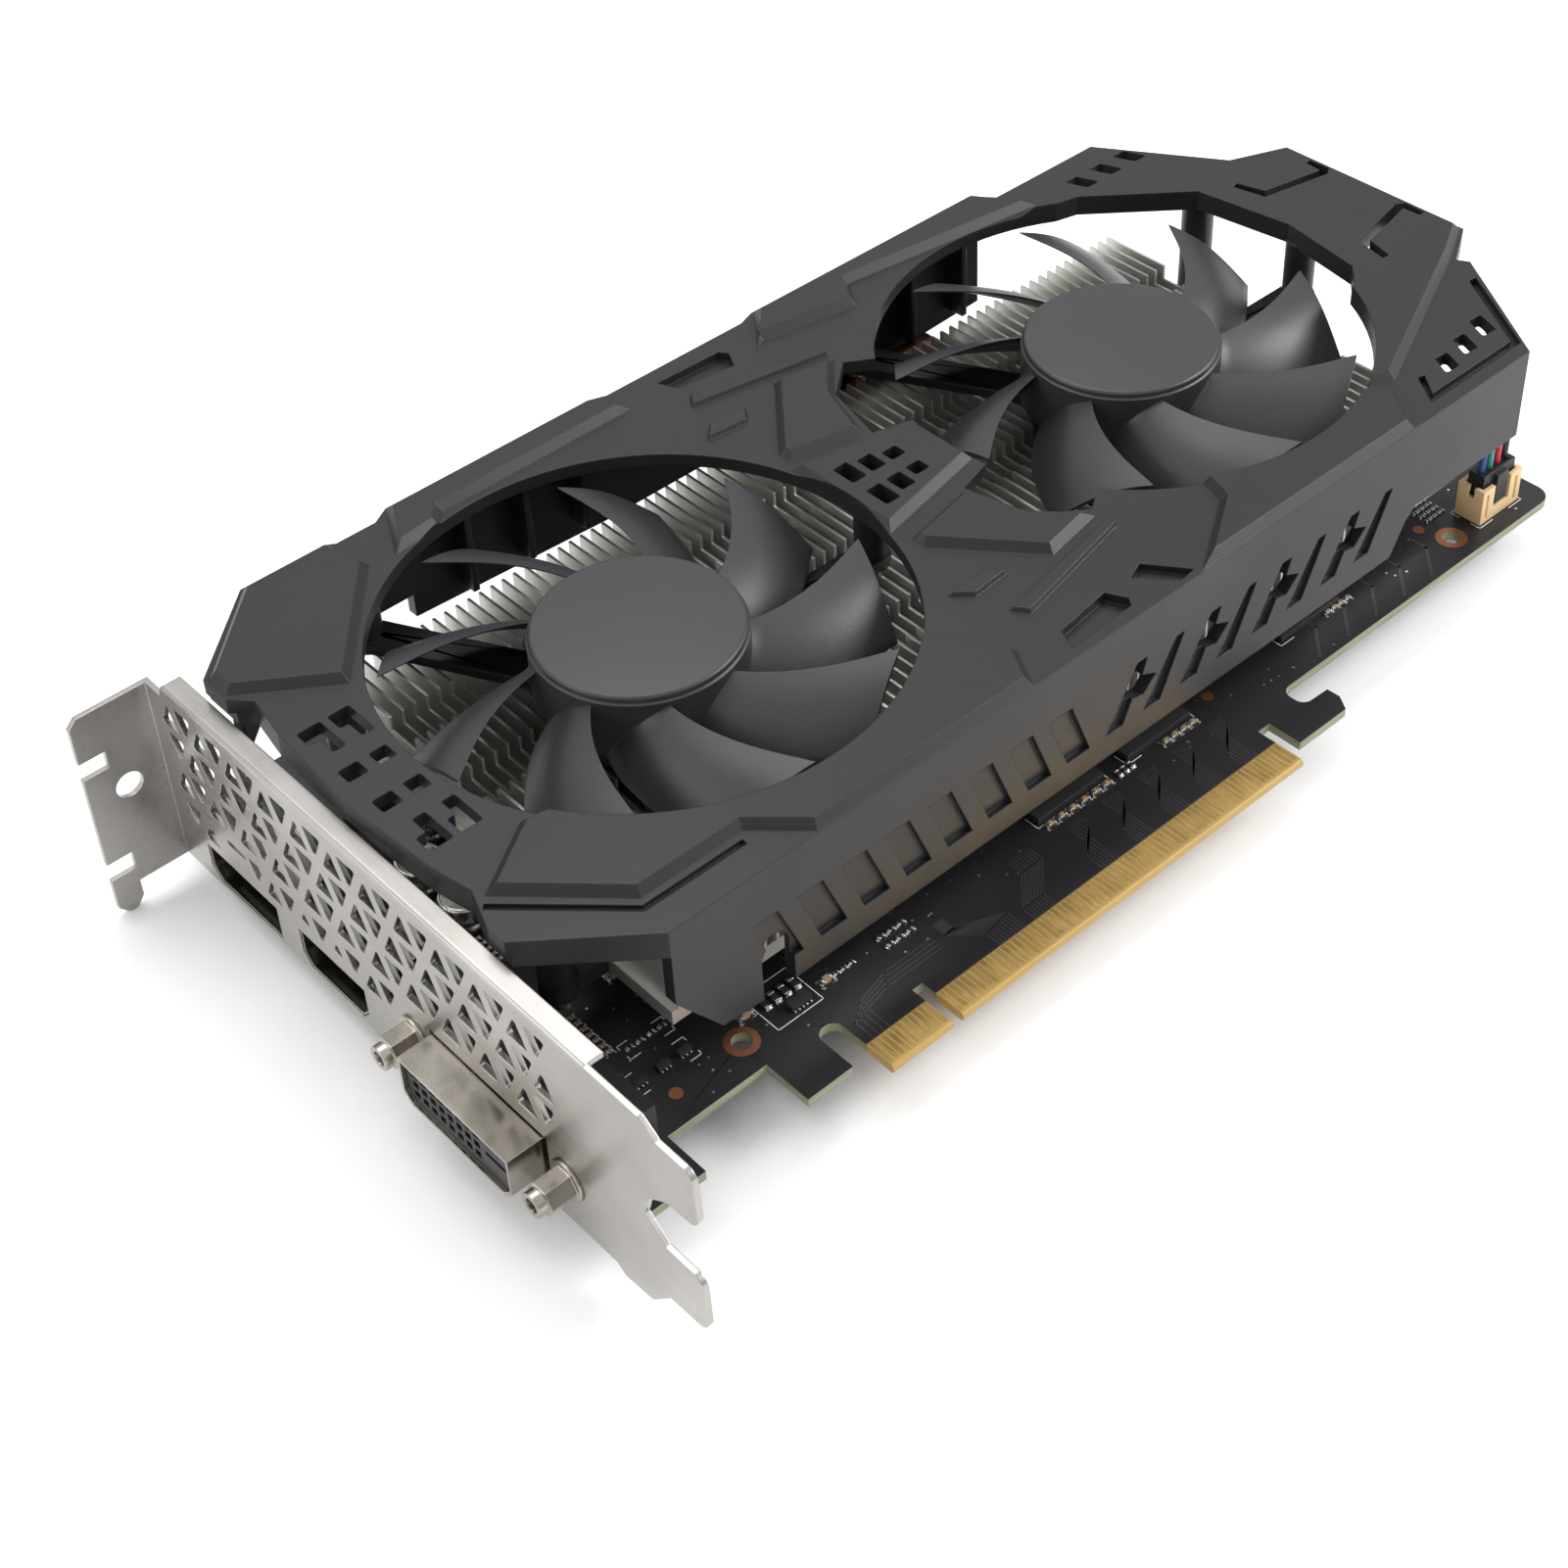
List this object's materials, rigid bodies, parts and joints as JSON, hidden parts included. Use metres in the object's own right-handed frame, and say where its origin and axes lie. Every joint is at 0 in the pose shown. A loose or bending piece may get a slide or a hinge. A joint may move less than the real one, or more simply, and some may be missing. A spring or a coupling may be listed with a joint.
{
  "type": "graphics card",
  "caption": "Dual-fan graphics card with a slotted bracket, three display sockets, a finned cooler under an angular shroud and an edge connector.",
  "frame": {"origin": "centre of the key notch of the edge connector, on the tips of the contacts, in the middle of the board thickness", "axes": "+X from the slot bracket to the tail, +Y from the edge connector across the board, +Z through the board towards the fans"},
  "size_m": [0.2288, 0.1228, 0.0451],
  "materials": {
    "solder_mask": "black satin solder mask",
    "gold": "gold flash, slightly dull",
    "copper": "bare copper",
    "nickel_sheet": "satin nickel plated sheet",
    "port_shell": "nickel plated, lightly tarnished",
    "port_black": "moulded black",
    "package_green": "laminate",
    "die_mirror": "polished silicon",
    "chip_black": "moulded epoxy",
    "choke_grey": "pressed powder",
    "can_metal": "bright can",
    "ceramic_tan": "fired ceramic",
    "header_cream": "nylon",
    "lead_blue": "vinyl",
    "lead_green": "vinyl",
    "lead_red": "vinyl",
    "lead_black": "vinyl",
    "fin_aluminium": "mill finish",
    "screw_steel": "zinc plated",
    "shroud_plastic": "fine charcoal texture",
    "fan_plastic": "satin grey",
    "magnet_grey": "bonded magnet in steel cup",
    "stator_lacquer": "varnished laminations"
  },
  "bodies": {
    "card": {"circuit_board": "solder_mask", "edge_contacts": "gold", "copper_rings": "copper", "slot_bracket": "nickel_sheet", "hdmi_shell": "port_shell", "hdmi_tongue": "port_black", "displayport_shell": "port_shell", "displayport_tongue": "port_black", "dvi_shell": "port_shell", "dvi_insert": "port_black", "dvi_jack_screws": "port_shell", "gpu_package": "package_green", "gpu_die": "die_mirror", "memory_chips": "chip_black", "power_chokes": "choke_grey", "power_transistors": "chip_black", "capacitor_bases": "chip_black", "capacitor_cans": "can_metal", "chip_capacitors": "ceramic_tan", "chip_resistors": "chip_black", "small_chips": "chip_black", "fan_header": "header_cream", "fan_header_pins": "gold", "fan_plug": "port_black", "fan_lead_blue": "lead_blue", "fan_lead_green": "lead_green", "fan_lead_red": "lead_red", "fan_lead_black": "lead_black", "contact_block": "copper", "heatsink_base": "fin_aluminium", "heatsink_fins": "fin_aluminium", "heat_pipe": "copper", "cooler_screws": "screw_steel", "cooler_springs": "screw_steel", "shroud": "shroud_plastic", "shroud_screws": "screw_steel", "fan_screws": "screw_steel", "fan_left_bearing": "gold", "fan_left_stator": "stator_lacquer", "fan_left_frame": "shroud_plastic", "fan_right_bearing": "gold", "fan_right_stator": "stator_lacquer", "fan_right_frame": "shroud_plastic"},
    "fan_left": {"fan_left_rotor": "fan_plastic", "fan_left_magnet_ring": "magnet_grey", "fan_left_shaft": "screw_steel"},
    "fan_right": {"fan_right_rotor": "fan_plastic", "fan_right_magnet_ring": "magnet_grey", "fan_right_shaft": "screw_steel"}
  },
  "joints": [
    {"name": "fan_left_spin", "type": "hinge", "parent": "card", "child": "fan_left", "pos_m": [-0.0029, 0.06045, 0.03], "axis": [0, 0, 1], "continuous": true},
    {"name": "fan_right_spin", "type": "hinge", "parent": "card", "child": "fan_right", "pos_m": [0.0964, 0.06045, 0.03], "axis": [0, 0, 1], "continuous": true}
  ]
}
